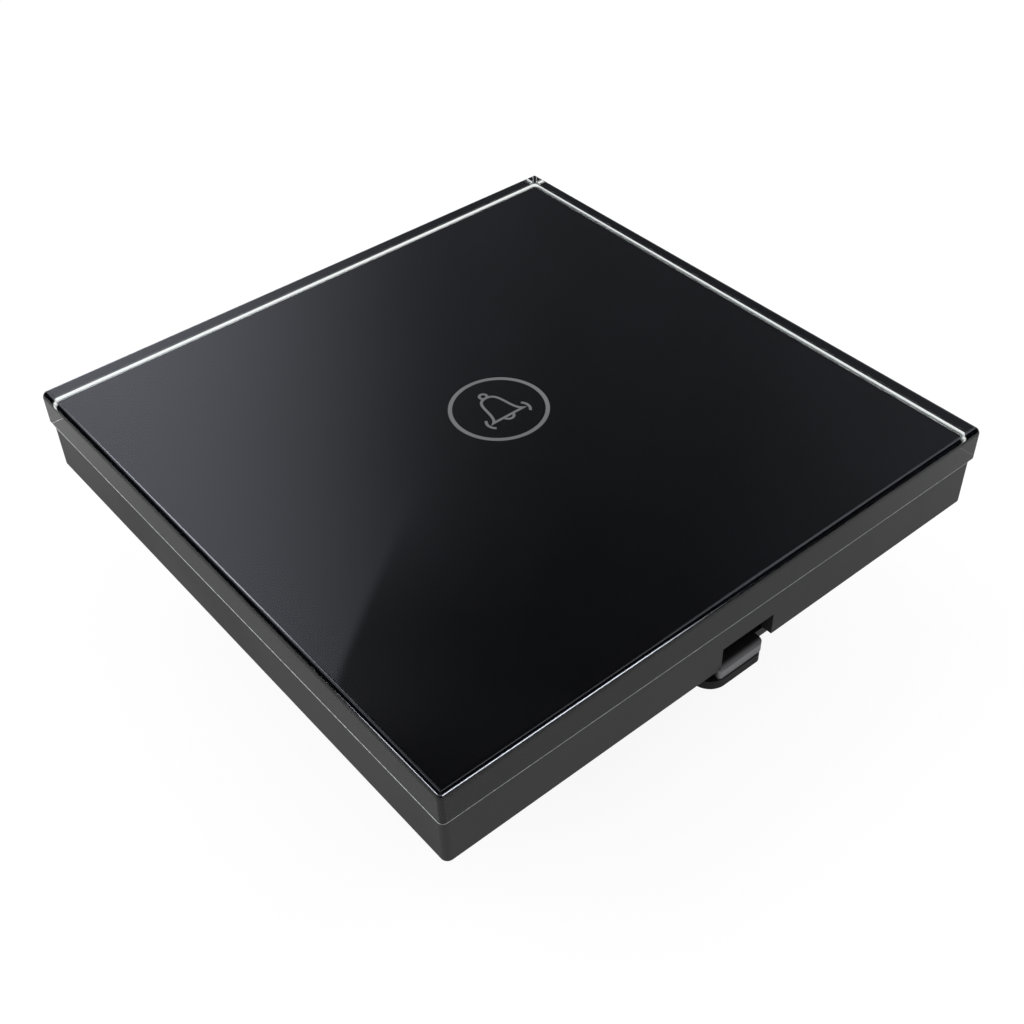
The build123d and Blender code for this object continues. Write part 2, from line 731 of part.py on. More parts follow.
# Terminal block: one cell for each clamp, its snout in the housing's window, with round wire entries
with BuildPart() as terminal_block:
    block_depth = block_rear - block_front
    block_middle = (block_rear + block_front) / 2
    with BuildSketch(Plane.XY.offset(block_back)):
        with Locations((0, block_middle)):
            Rectangle(block_width, block_depth)
    extrude(amount=power_board_back - block_back)
    with BuildSketch(Plane.XZ.offset(-block_front)):
        with Locations((0, wire_level)):
            Rectangle(block_width, snout_height)
    extrude(amount=housing_side / 2 + block_front)
    with BuildSketch(Plane.XY.offset(block_floor_top)):
        with Locations(*[(x, terminal_y) for x in terminal_xs]):
            Rectangle(cell_width, cell_depth)
    extrude(amount=power_board_back - block_floor_top, mode=Mode.SUBTRACT)
    with BuildSketch(Plane.XY.offset(block_back)):
        with Locations(*[(x, terminal_y) for x in terminal_xs]):
            Circle(driver_hole_r)
    extrude(amount=block_floor, mode=Mode.SUBTRACT)
    with BuildSketch(Plane.XZ.offset(-terminal_y)):
        with Locations(*[(x, wire_level) for x in terminal_xs]):
            Circle(wire_r)
    extrude(amount=housing_side / 2 + terminal_y, mode=Mode.SUBTRACT)
    with BuildSketch(Plane.XZ.offset(-block_rear)):
        with Locations(*[(x, bar_top - bar_thickness / 2) for x in terminal_xs]):
            Rectangle(bar_width + 2 * fit_gap, bar_thickness + 2 * fit_gap)
    extrude(amount=2 * block_rear_wall, mode=Mode.SUBTRACT)
finish(terminal_block, "terminal_block")

# Brass contact bars, one in each cage, with a leg up to the board
with BuildPart() as contact_bars:
    for x in terminal_xs:
        with BuildSketch(Plane.YZ.offset(x - bar_width / 2)):
            with BuildLine():
                Polyline(
                    (terminal_y - bar_reach, bar_top),
                    (block_rear + fit_gap, bar_top),
                    (block_rear + fit_gap, power_board_back),
                    (block_rear + fit_gap + bar_thickness, power_board_back),
                    (block_rear + fit_gap + bar_thickness, bar_back),
                    (terminal_y - bar_reach, bar_back),
                    close=True,
                )
            make_face()
        extrude(amount=bar_width)
finish(contact_bars, "contact_bars")


def clamp_cage(x):
    """A rising cage: a square tube along Y, open to the wire, with a tapped near wall for its screw."""
    with BuildPart() as cage:
        with BuildSketch(Plane.XY.offset(cage_back)):
            with Locations((x, terminal_y)):
                Rectangle(cage_width, cage_depth)
        extrude(amount=cage_far_top - cage_back)
        with BuildSketch(Plane.XZ.offset(-terminal_y)):
            with Locations((x, (cage_near_top + wire_top) / 2)):
                Rectangle(cage_width - 2 * cage_side_wall, wire_top - cage_near_top)
        extrude(amount=cage_depth, both=True, mode=Mode.SUBTRACT)
        with BuildSketch(Plane.XY.offset(cage_back)):
            with Locations((x, terminal_y)):
                Circle(screw_r + running_gap)
        extrude(amount=cage_near_wall, mode=Mode.SUBTRACT)
    return cage


def terminal_screw(x):
    """A slotted clamp screw whose head faces the back of the housing and whose tip meets the contact bar."""
    with BuildPart() as screw:
        with BuildSketch(Plane.XY.offset(head_back)):
            with Locations((x, terminal_y)):
                Circle(screw_head_r)
        extrude(amount=screw_head_height)
        with BuildSketch(Plane.XY.offset(head_top)):
            with Locations((x, terminal_y)):
                Circle(screw_r)
        extrude(amount=bar_back - fit_gap - head_top)
        chamfer(screw.edges().group_by(Axis.Z)[-1], tip_chamfer)
        with BuildSketch(Plane.XY.offset(head_back)):
            with Locations((x, terminal_y)):
                Rectangle(2 * screw_head_r, slot_stock)
        extrude(amount=slot_depth, mode=Mode.SUBTRACT)
    return screw


for number, x in enumerate(terminal_xs, start=1):
    finish(clamp_cage(x), f"clamp_cage_{number}")
    finish(terminal_screw(x), f"terminal_screw_{number}")
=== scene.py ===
"""Looks of a flush touch doorbell switch: glass front, satin frame, steel strap, boards and rear housing.

Lengths are metres in the frame of the solids. A name that ends in _mm is millimetres, and so is every size
of a sub-assembly.
"""
import json
import logging
import math
from dataclasses import dataclass
from enum import Enum
from typing import Any, Iterator, Optional

import bpy
import numpy as np
from mathutils import Matrix, Vector


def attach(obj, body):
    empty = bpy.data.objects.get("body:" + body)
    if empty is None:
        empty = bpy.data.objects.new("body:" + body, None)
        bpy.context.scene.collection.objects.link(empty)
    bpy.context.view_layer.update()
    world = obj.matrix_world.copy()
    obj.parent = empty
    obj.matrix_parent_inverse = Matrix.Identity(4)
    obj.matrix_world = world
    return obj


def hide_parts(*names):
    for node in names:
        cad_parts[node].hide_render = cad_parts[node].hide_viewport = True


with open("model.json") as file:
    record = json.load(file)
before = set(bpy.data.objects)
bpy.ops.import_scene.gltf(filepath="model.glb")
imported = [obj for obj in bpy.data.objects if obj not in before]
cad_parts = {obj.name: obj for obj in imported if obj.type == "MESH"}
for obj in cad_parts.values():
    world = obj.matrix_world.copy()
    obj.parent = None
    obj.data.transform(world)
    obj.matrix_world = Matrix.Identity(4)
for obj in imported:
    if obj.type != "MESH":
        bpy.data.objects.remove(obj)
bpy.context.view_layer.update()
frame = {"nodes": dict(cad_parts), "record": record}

log = logging.getLogger("doorbell_switch")
MM = 0.001
WHITE = (1.0, 1.0, 1.0, 1.0)
Tree = bpy.types.NodeTree
Inputs = dict[Any, Any]


def linear(code: str) -> tuple[float, float, float, float]:
    """Turn an sRGB hex colour, written "#RRGGBB", into the linear colour that a node takes."""
    parts = [int(code[i:i + 2], 16) / 255 for i in (1, 3, 5)]
    return (*[v / 12.92 if v <= 0.04045 else ((v + 0.055) / 1.055) ** 2.4 for v in parts], 1.0)


def add_node(tree: Tree, kind: str, inputs: Inputs, **settings: Any) -> "Outputs":
    """Add one node with its settings, and fill or link its inputs.

    Args:
        tree: Node tree that gets the node.
        kind: Blender's name of the node type.
        inputs: Plain value or node value for each input, by name or number.
        **settings: Properties of the node itself.

    Returns:
        The new node's outputs.
    """
    node = tree.nodes.new(kind)
    for name, value in settings.items():
        setattr(node, name, value)
    for key, value in inputs.items():
        if isinstance(value, Value):
            tree.links.new(value.socket, node.inputs[key])
        else:
            node.inputs[key].default_value = value
    return Outputs(node)


@dataclass(frozen=True)
class Outputs:
    """Outputs of a node, read by name or number, or unpacked in their order."""

    node: bpy.types.Node

    def __getitem__(self, output: Any) -> "Value":
        """Give the value of one output."""
        return Value(self.node.outputs[output])

    def __iter__(self) -> Iterator["Value"]:
        """Give the values of all outputs in their order."""
        return map(Value, self.node.outputs)


@dataclass(frozen=True)
class Value:
    """What an output socket gives, with plain arithmetic on it. Each operation adds a node to the tree."""

    socket: bpy.types.NodeSocket

    @property
    def tree(self) -> Tree:
        """Node tree that the value belongs to."""
        return self.socket.id_data

    def do(self, operation: str, *others: Any) -> "Value":
        """Carry out one of Blender's operations, such as "SQRT", on this number and others."""
        inputs = dict(enumerate((self, *others)))
        return add_node(self.tree, "ShaderNodeMath", inputs, operation=operation)[0]

    def __add__(self, other: Any) -> "Value":
        """Add another number to this one."""
        return self.do("ADD", other)

    def __sub__(self, other: Any) -> "Value":
        """Take another number from this one."""
        return self.do("SUBTRACT", other)

    def __rsub__(self, other: float) -> "Value":
        """Take this number from a plain one."""
        return self.do("MULTIPLY_ADD", -1.0, other)

    def __mul__(self, other: Any) -> "Value":
        """Multiply this number by another."""
        return self.do("MULTIPLY", other)

    def __truediv__(self, other: Any) -> "Value":
        """Divide this number by another."""
        return self.do("DIVIDE", other)

    def __abs__(self) -> "Value":
        """Drop this number's sign."""
        return self.do("ABSOLUTE")

    def parts(self) -> Outputs:
        """Split this vector into its x, y and z."""
        return add_node(self.tree, "ShaderNodeSeparateXYZ", {0: self})

    def within(self, low_mm: float, high_mm: float) -> "Value":
        """Give 1 where this length lies between two limits, and 0 elsewhere."""
        return self.do("COMPARE", (low_mm + high_mm) / 2 * MM, (high_mm - low_mm) / 2 * MM)

    def step(self, start: float, end: float, low: float = 0.0, high: float = 1.0) -> "Value":
        """Ease from low to high as this number goes from start to end, by the smooth cubic step.

        Args:
            start: Number at which the result leaves low.
            end: Number at which the result reaches high. It may be under start.
            low: Result before start.
            high: Result after end.
        """
        if end < start:
            start, end, low, high = end, start, high, low
        inputs = {"Value": self, "From Min": start, "From Max": end, "To Min": low, "To Max": high}
        return add_node(self.tree, "ShaderNodeMapRange", inputs, interpolation_type="SMOOTHSTEP")[0]

    def mix(self, low: Any, high: Any) -> "Value":
        """Mix two levels, with this number as the share of the second."""
        return add_node(self.tree, "ShaderNodeMix", {0: self, 2: low, 3: high})[0]

    def blend(self, low: Any, high: Any) -> "Value":
        """Blend two colours, with this number as the share of the second. Text is an sRGB hex colour."""
        low, high = (linear(colour) if isinstance(colour, str) else colour for colour in (low, high))
        return add_node(self.tree, "ShaderNodeMix", {0: self, 6: low, 7: high}, data_type="RGBA")[2]

    def noise(self, size_mm: float, detail: float = 3.0, stretch: tuple = (1, 1, 1)) -> "Value":
        """Give cloudy noise from 0 to 1 over these coordinates, with blots of a real size.

        Args:
            size_mm: Size of one blot.
            detail: Octaves of finer noise.
            stretch: Factor on the frequency along each axis.
        """
        scaled = add_node(self.tree, "ShaderNodeMapping", {"Vector": self, "Scale": stretch})[0]
        inputs = {"Vector": scaled, "Scale": 1 / (size_mm * MM), "Detail": detail}
        return add_node(self.tree, "ShaderNodeTexNoise", inputs)["Fac"]

    def cells(self, size_mm: float, randomness: float = 1.0, **settings: Any) -> "Value":
        """Give the distance pattern of cells of a real size over these coordinates."""
        inputs = {"Vector": self, "Scale": 1 / (size_mm * MM), "Randomness": randomness}
        return add_node(self.tree, "ShaderNodeTexVoronoi", inputs, **settings)["Distance"]

    def relief(self, depth_mm: float, **more: Any) -> "Value":
        """Give the normal bumped by this number as a height from 0 to 1, which stands for a real depth."""
        inputs = {"Height": self, "Distance": depth_mm * MM}
        return add_node(self.tree, "ShaderNodeBump", inputs | more)[0]


def length(x: Value, y: Value) -> Value:
    """Give the length of a flat vector: the root of the sum of its squared parts."""
    return (x * x + y * y).do("SQRT")


def normal_height(tree: Tree) -> Value:
    """Give the z of the surface's normal: 1 on a level top, 0 on a wall and -1 on an underside."""
    return add_node(tree, "ShaderNodeNewGeometry", {})["Normal"].parts()[2]


class Lay(Enum):
    """Way that the drawn lines run on a metal, as a factor on the pattern's frequency along each axis."""

    ALONG_X = (0.06, 1.0, 1.0)
    ALONG_Y = (1.0, 0.08, 1.0)


@dataclass(frozen=True)
class Finish:
    """One real material with the way its surface was made.

    Attributes:
        name: Name of the Blender material.
        base: Main colour, sRGB hex.
        fleck: Colour that the main one drifts to.
        roughness: Roughness of the surface.
    """

    name: str
    base: str
    fleck: str
    roughness: float

    def coat(self, where: Value) -> Inputs:
        """Work out the main shader's inputs on object coordinates."""
        raise NotImplementedError

    def layers(
        self, hue: Value, cloud: Value, less: float, over: float, normal: Value, reach: float = 0.2,
        **more: Any,
    ) -> Inputs:
        """Join colour, gloss and relief.

        Args:
            hue: Share of the fleck in the colour.
            cloud: Noise from 0 to 1 with which the roughness drifts.
            less: Roughness lost where the cloud is low.
            over: Roughness gained where it is high.
            normal: Bumped normal.
            reach: Distance from the cloud's middle at which the drift is full.
            **more: Further inputs.

        Returns:
            The main shader's inputs.
        """
        drift = cloud.step(0.5 - reach, 0.5 + reach, self.roughness - less, self.roughness + over)
        return {"Base Color": hue.blend(self.base, self.fleck), "Roughness": drift, "Normal": normal} | more

    def shade(self, where: Value) -> Value:
        """Build the main shader on object coordinates and give the surface."""
        return add_node(where.tree, "ShaderNodeBsdfPrincipled", self.coat(where))[0]

    def material(self) -> bpy.types.Material:
        """Build the new material."""
        material = bpy.data.materials.new(self.name)
        material.use_nodes = True
        tree = material.node_tree
        tree.nodes.clear()
        where = add_node(tree, "ShaderNodeTexCoord", {})["Object"]
        add_node(tree, "ShaderNodeOutputMaterial", {"Surface": self.shade(where)})
        return material


@dataclass(frozen=True)
class Moulded(Finish):
    """Injection-moulded plastic: the spark-eroded tool leaves fine grain, so the gloss is broken and even.

    Attributes:
        grain_mm: Size of the tool's grain.
        depth_mm: Depth of the grain.
        glow: Share of light that passes under the surface.
        glow_mm: Depth to which that light goes.
        cloud_mm: Size of the slow drift of colour and gloss.
    """

    grain_mm: float = 0.2
    depth_mm: float = 0.004
    glow: float = 0.0
    glow_mm: float = 0.6
    cloud_mm: float = 14.0

    def coat(self, where: Value) -> Inputs:
        """Main shader: two sizes of grain, and a slow drift of colour and roughness."""
        cloud = where.noise(self.cloud_mm, 2.0)
        grain = where.noise(self.grain_mm, 2.0)
        normal = (where.noise(0.4 * self.grain_mm, 1.0) * 0.4 + grain).relief(self.depth_mm)
        inputs = self.layers(grain * 0.35 + cloud, cloud, 0.05, 0.05, normal, 0.25, IOR=1.5)
        if self.glow:
            inputs |= {
                "Subsurface Weight": self.glow,
                "Subsurface Radius": (1.0, 0.9, 0.8),
                "Subsurface Scale": self.glow_mm * MM,
            }
        return inputs


@dataclass(frozen=True)
class MouldedWithPaintedLipLight(Moulded):
    """Moulded plastic painted lighter and greyer towards its lip: painted light where light falls on the lip,
    and the darker inside stands for shade under the frame.

    Attributes:
        lip_light: Colour of the painted light on the lip, sRGB hex.
        lip_mm: Level of y at which the painted light begins, and at which it is full.
    """

    lip_light: str = "#767678"
    lip_mm: tuple = (-39.0, -39.9)

    def coat(self, where: Value) -> Inputs:
        """Main shader: the plastic's, with its colour blended towards the lip to a lighter grey, which is
        painted light.
        """
        # Painted light: the colour turns lighter towards the lip, and the dark inside stands for shade.
        inputs, lit_share = super().coat(where), where.parts()[1].step(*(y * MM for y in self.lip_mm))
        return inputs | {"Base Color": lit_share.blend(inputs["Base Color"], self.lip_light)}


@dataclass(frozen=True)
class Coated(Finish):
    """Powder-coated steel: the melted powder leaves a soft orange peel under a satin sheen.

    Attributes:
        peel_mm: Size of one dimple of the peel.
        depth_mm: Depth of a dimple.
        cloud_mm: Size of the slow drift of colour and gloss.
    """

    peel_mm: float = 0.5
    depth_mm: float = 0.006
    cloud_mm: float = 9.0

    def coat(self, where: Value) -> Inputs:
        """Main shader: round dimples in the coat and a slow drift of its gloss."""
        cloud, normal = where.noise(self.cloud_mm, 2.0), where.noise(self.peel_mm, 1.0).relief(self.depth_mm)
        return self.layers(cloud, cloud, 0.06, 0.06, normal, IOR=1.5) | {"Specular IOR Level": 0.28}


@dataclass(frozen=True)
class Plated(Finish):
    """Bare or plated metal: rolling and stamping leave fine lines, and handling dulls patches.

    Attributes:
        line_mm: Width of one line, drawn as coarse as it needs to show.
        lay: Way that the lines run.
        depth_mm: Depth of the lines.
        patch_mm: Size of a dull patch.
    """

    line_mm: float = 0.12
    lay: Lay = Lay.ALONG_X
    depth_mm: float = 0.003
    patch_mm: float = 2.5

    def coat(self, where: Value) -> Inputs:
        """Main shader: stretched noise for the lines and cloudy noise for the dull patches."""
        patches, lines = where.noise(self.patch_mm), where.noise(self.line_mm, 2.0, self.lay.value)
        return self.layers(patches, patches, 0.07, 0.09, lines.relief(self.depth_mm), Metallic=1.0)


@dataclass(frozen=True)
class Threaded(Plated):
    """Zinc-plated screw steel with a rolled thread on the shank and lines turned round the head.

    Attributes:
        spots_mm: Centre of the screw, or of the one in the first quadrant where four lie mirrored.
        shank_mm: Lowest and highest level of the thread.
        pitch_mm: Rise of the thread in one turn.
        reach_mm: Radius out to which the thread is drawn.
        mirrored: Whether four screws lie mirrored in both x and y.
        turned_mm: Distance between two turned lines.
    """

    base: str = "#B9BCC0"
    fleck: str = "#9EA2A8"
    roughness: float = 0.32
    depth_mm: float = 0.006
    patch_mm: float = 1.5
    spots_mm: tuple = (0.0, 0.0)
    shank_mm: tuple = (0.0, 1.0)
    pitch_mm: float = 0.5
    reach_mm: float = 1.6
    mirrored: bool = True
    turned_mm: float = 0.09

    def coat(self, where: Value) -> Inputs:
        """Main shader: a ridge that climbs one pitch in each turn round the screw's own axis."""
        x, y, z = where.parts()
        if self.mirrored:
            x, y = abs(x), abs(y)
        x, y = (v - spot * MM for v, spot in zip((x, y), self.spots_mm))
        radius = length(x, y)
        climb = z / (self.pitch_mm * MM) - y.do("ARCTAN2", x) / (2 * math.pi)
        near = radius.do("LESS_THAN", self.reach_mm * MM)
        ridge = climb.do("PINGPONG", 0.5) * z.within(*self.shank_mm) * near
        lines = (radius / (self.turned_mm * MM)).do("PINGPONG", 0.5)
        patches = where.noise(self.patch_mm)
        normal = lines.relief(self.depth_mm, Strength=0.5, Normal=ridge.relief(0.7 * self.pitch_mm))
        return self.layers(patches, patches, 0.06, 0.08, normal, Metallic=1.0)


@dataclass(frozen=True)
class FloatGlass(Finish):
    """Clear float glass with polished edges.

    Its faces come mirror-flat from the melt, so they reflect sharply. Its edges are ground and polished, so
    they bend the light from behind into bright lines. The arcs between the faces keep the silk of the last
    wheel, and send light back as a thin line.

    Attributes:
        silk: Share of light that the arcs send back.
        silk_roughness: Roughness of the arcs.
        arcs: Middle and half width of each span of the normal's height in which the silk lies.
        level: Height of the normal down to which a face is smooth, and under which it has the wheel's marks.
        mark_mm: Width of one mark, which is five times as long.
        tint_mm: Size of the faint drift of colour.
    """

    silk: float = 0.32
    silk_roughness: float = 0.1
    arcs: tuple = ((0.857, 0.13), (0.635, 0.06))
    level: tuple = (0.98, 0.9)
    mark_mm: float = 0.8
    tint_mm: float = 30.0

    def shade(self, where: Value) -> Value:
        """Build clear glass with smooth faces and the wheel's marks on the edges, and silk on the arcs."""
        tree = where.tree
        height = normal_height(tree)
        marks = where.noise(self.mark_mm, 1.0, (0.2, 0.2, 1.0))
        rough = marks.step(0.2, 0.8, 0.6 * self.roughness, self.roughness)
        clear = add_node(tree, "ShaderNodeBsdfPrincipled", {
            "Base Color": where.noise(self.tint_mm, 1.0).blend(self.base, self.fleck),
            "Roughness": abs(height).step(*self.level) * rough,
            "Transmission Weight": 1.0,
            "IOR": 1.52,
        })
        silk = add_node(tree, "ShaderNodeBsdfGlossy", {"Color": WHITE, "Roughness": self.silk_roughness})
        first, second = (height.do("COMPARE", middle, half) for middle, half in self.arcs)
        inputs = {0: (first + second) * self.silk, 1: clear[0], 2: silk[0]}
        return add_node(tree, "ShaderNodeMixShader", inputs)[0]


@dataclass(frozen=True)
class Printed(Finish):
    """Ink or enamel laid on glass through a screen: dense and flat, with a faint cloud where it lies thinner.

    Attributes:
        ior: Index of the surface; 1 where the glass itself lies on the print and there is no air to reflect.
        cloud_mm: Size of one thin patch.
    """

    ior: float = 1.5
    cloud_mm: float = 12.0

    def coat(self, where: Value) -> Inputs:
        """Main shader: a slow cloud in the colour for the uneven thickness of the print."""
        colour = where.noise(self.cloud_mm, 2.0).step(0.35, 0.65).blend(self.base, self.fleck)
        return {"Base Color": colour, "Roughness": self.roughness, "IOR": self.ior}


@dataclass(frozen=True)
class Foamed(Finish):
    """Open-cell foam or foam tape: round pores of a real size, dark inside, and no gloss.

    Attributes:
        cell_mm: Size of one pore.
        depth_mm: Depth of a pore.
    """

    cell_mm: float = 0.35
    depth_mm: float = 0.12

    def coat(self, where: Value) -> Inputs:
        """Main shader: cell distance as pore depth and as darkness."""
        wall = where.cells(self.cell_mm).step(0.1, 0.6)
        return {
            "Base Color": wall.blend(self.base, self.fleck),
            "Roughness": self.roughness,
            "Normal": wall.relief(self.depth_mm),
            "IOR": 1.45,
        }


@dataclass(frozen=True)
class Laminate(Finish):
    """Glass-fibre board under green solder resist.

    Copper tracks stand up as lighter lines, tinned rings lie round the screw holes, and the sawn rim shows
    the pale fibre.

    Attributes:
        holes_mm: Place of the screw hole in the first quadrant.
        ring_mm: Inner and outer radius of the tinned ring round it.
        field_mm: Size of one field of tracks.
        weave_mm: Size of the mottle of the weave.
        depth_mm: Height of tracks and rings.
        tin: Colour of the tinned rings, sRGB hex.
        fibre: Colour of the sawn rim, sRGB hex.
    """

    holes_mm: tuple = (21.0, 21.0)
    ring_mm: tuple = (1.1, 2.2)
    field_mm: float = 4.2
    weave_mm: float = 0.5
    depth_mm: float = 0.03
    tin: str = "#C9C8C2"
    fibre: str = "#9A9468"

    def coat(self, where: Value) -> Inputs:
        """Main shader: square cells give the tracks, a distance the rings, and the normal the rim."""
        square = dict(distance="MANHATTAN", feature="F2", voronoi_dimensions="2D")
        track = (where.cells(self.field_mm, 0.85, **square) * 5.0).do("PINGPONG", 0.5).step(0.36, 0.42)
        weave = where.noise(self.weave_mm, 2.0, (1, 1, 0.2))
        offsets = [abs(v) - hole * MM for v, hole in zip(where.parts(), self.holes_mm)]
        ring = length(*offsets).within(*self.ring_mm)
        rim = abs(normal_height(where.tree)).do("LESS_THAN", 0.5)
        normal = track.do("MAXIMUM", ring).relief(self.depth_mm)
        inputs = self.layers(weave * 0.25 + track, weave, 0.0, 0.12, normal, IOR=1.5)
        tinned = ring.blend(inputs["Base Color"], self.tin)
        return inputs | {"Base Color": rim.blend(tinned, self.fibre), "Metallic": ring * (1.0 - rim)}


@dataclass(frozen=True)
class Fired(Finish):
    """Sintered, ground or dipped ceramic and moulded epoxy: a hard, fine-grained surface.

    Attributes:
        grain_mm: Size of the grain.
        depth_mm: Depth of the grain.
        cloud_mm: Size of the slow drift of colour.
    """

    grain_mm: float = 0.1
    depth_mm: float = 0.004
    cloud_mm: float = 3.0

    def coat(self, where: Value) -> Inputs:
        """Main shader: grain in colour and relief."""
        grain, cloud = where.noise(self.grain_mm), where.noise(self.cloud_mm, 2.0)
        return self.layers(grain * 0.4 + cloud, grain, 0.04, 0.06, grain.relief(self.depth_mm), IOR=1.52)


@dataclass(frozen=True)
class Wrapped(Finish):
    """Polyester tape wound in laps, or a sleeve shrunk on: glossy film with a step at each lap.

    Attributes:
        lap_mm: Height of one lap.
        depth_mm: Height of the step.
        wrinkle_mm: Size of one wrinkle.
    """

    lap_mm: float = 1.9
    depth_mm: float = 0.05
    wrinkle_mm: float = 0.9

    def coat(self, where: Value) -> Inputs:
        """Main shader: a saw-tooth along the wound height, with cloudy wrinkles."""
        wrinkles = where.noise(self.wrinkle_mm, 3.0, (1, 1, 0.3))
        height = wrinkles * 0.5 + (where.parts()[2] / (self.lap_mm * MM)).do("FRACT")
        return self.layers(height, wrinkles, 0.0, 0.15, height.relief(self.depth_mm), IOR=1.57)


SOLDER = Plated("reflowed_tin_solder", "#C6C8C9", "#A9ACAE", 0.26, 0.3)
CAN = Plated("drawn_aluminium", "#C3C5C8", "#ABAEB2", 0.34, 0.1)
FINISHES: dict[str, Finish] = {
    # Glass front
    "clear_glass": FloatGlass("polished_float_glass", "#F9FDFB", "#FBFFFD", 0.012),
    "black_enamel": Printed("fired_black_enamel", "#09090C", "#0C0C10", 0.5, 1.0),
    "smoked_film": Printed("smoked_polyester_film", "#0A0A0B", "#0D0D0E", 0.4, 1.0),
    "grey_enamel": Printed("fired_grey_enamel", "#707072", "#79797B", 0.45),
    "clear_adhesive": Foamed("clear_acrylic_foam_tape", "#C6C9CC", "#E4E6E8", 0.5, 0.25),
    # Frame and strap
    "satin_black_plastic": Moulded("satin_black_abs", "#242425", "#2E2E2F", 0.42, 0.22, 0.005),
    "black_coated_steel": Coated("powder_coated_black_steel", "#101010", "#161617", 0.5),
    "spring_steel": Plated("rolled_spring_steel", "#A9ADB2", "#8A8F95", 0.28, 0.1, Lay.ALONG_Y),
    # Touch board
    "board_laminate": Laminate("green_resist_on_glass_fibre", "#0B3A1C", "#17552C", 0.3),
    "conductive_foam": Foamed("carbon_filled_foam", "#151517", "#3A3A3D", 0.8, 0.4),
    "milky_plastic": Moulded("milky_polycarbonate", "#E9EAE6", "#DDDFDA", 0.38, 0.15, 0.002, 0.5),
    "lamp_resin": Moulded("resin_over_yellow_phosphor", "#E8DC86", "#F4EFC8", 0.18, 0.3, 0.002, 0.3),
    "chip_epoxy": Fired("moulded_black_epoxy", "#1B1B1C", "#262627", 0.55, 0.08, 0.006),
    "chip_ceramic": Fired("sintered_barium_titanate", "#8C7355", "#A58C6C", 0.45, 0.1, 0.003),
    "connector_plastic": Moulded("black_glass_filled_nylon", "#1C1C1D", "#28282A", 0.5, 0.15, 0.004),
    # Rear housing and power board
    "housing_plastic": Moulded("charcoal_polycarbonate", "#2B2C2E", "#35363A", 0.45, 0.3, 0.006),
    "relay_case": Moulded("blue_pbt_relay_case", "#15408F", "#1E4FA4", 0.3, 0.25, 0.002),
    "ferrite": Fired("ground_ferrite", "#3A3B3E", "#4C4D51", 0.5, 0.07, 0.006),
    "winding_tape": Wrapped("yellow_polyester_tape", "#D9A514", "#C08A0C", 0.2, 1.9),
    "capacitor_box": Moulded("yellow_moulded_box", "#D0A62A", "#C2971F", 0.34, 0.25, 0.003),
    "capacitor_sleeve": Wrapped("shrunk_black_sleeve", "#17181F", "#262835", 0.2, 11.0),
    "varistor_coating": Fired("dipped_blue_epoxy", "#16449C", "#2257B4", 0.3, 0.5, 0.02),
    "fuse_body": Fired("brown_coated_ceramic", "#7A4B2C", "#8C5A38", 0.35, 0.2, 0.006),
    # Terminals
    "terminal_plastic": Moulded("grey_polyamide", "#A6A8A6", "#B4B6B3", 0.45, 0.2, 0.004),
    "nickelled_brass": Plated("nickel_plated_brass", "#C9C4B6", "#B3AE9F", 0.25, 0.1, Lay.ALONG_Y),
    "brass": Plated("stamped_brass", "#D6B15E", "#BC9443", 0.26, 0.1, Lay.ALONG_Y),
}


@dataclass(frozen=True)
class Card:
    """Flag, gauze or softbox of the studio, placed by the directions in which the object sees it.

    Attributes:
        turn: First and last degree round from the back.
        lift: Lowest and highest degree of height.
        level: Level of a softbox, share that a gauze holds back, or 0 for a black flag.
        soft: Degrees on each side of an edge over which it fades.
    """

    turn: tuple
    lift: tuple
    level: float = 0.0
    soft: float = 1.0

    def mark(self, turn: Value, lift: Value) -> Value:
        """Give 1 in the directions in which the card stands and 0 beside it, from their two angles."""
        first, last, lowest, highest = (
            value.step(edge - self.soft, edge + self.soft, *ends)
            for value, edges in ((turn, self.turn), (lift, self.lift))
            for edge, ends in zip(edges, ((0.0, 1.0), (1.0, 0.0)))
        )
        return first * last * (lowest * highest)


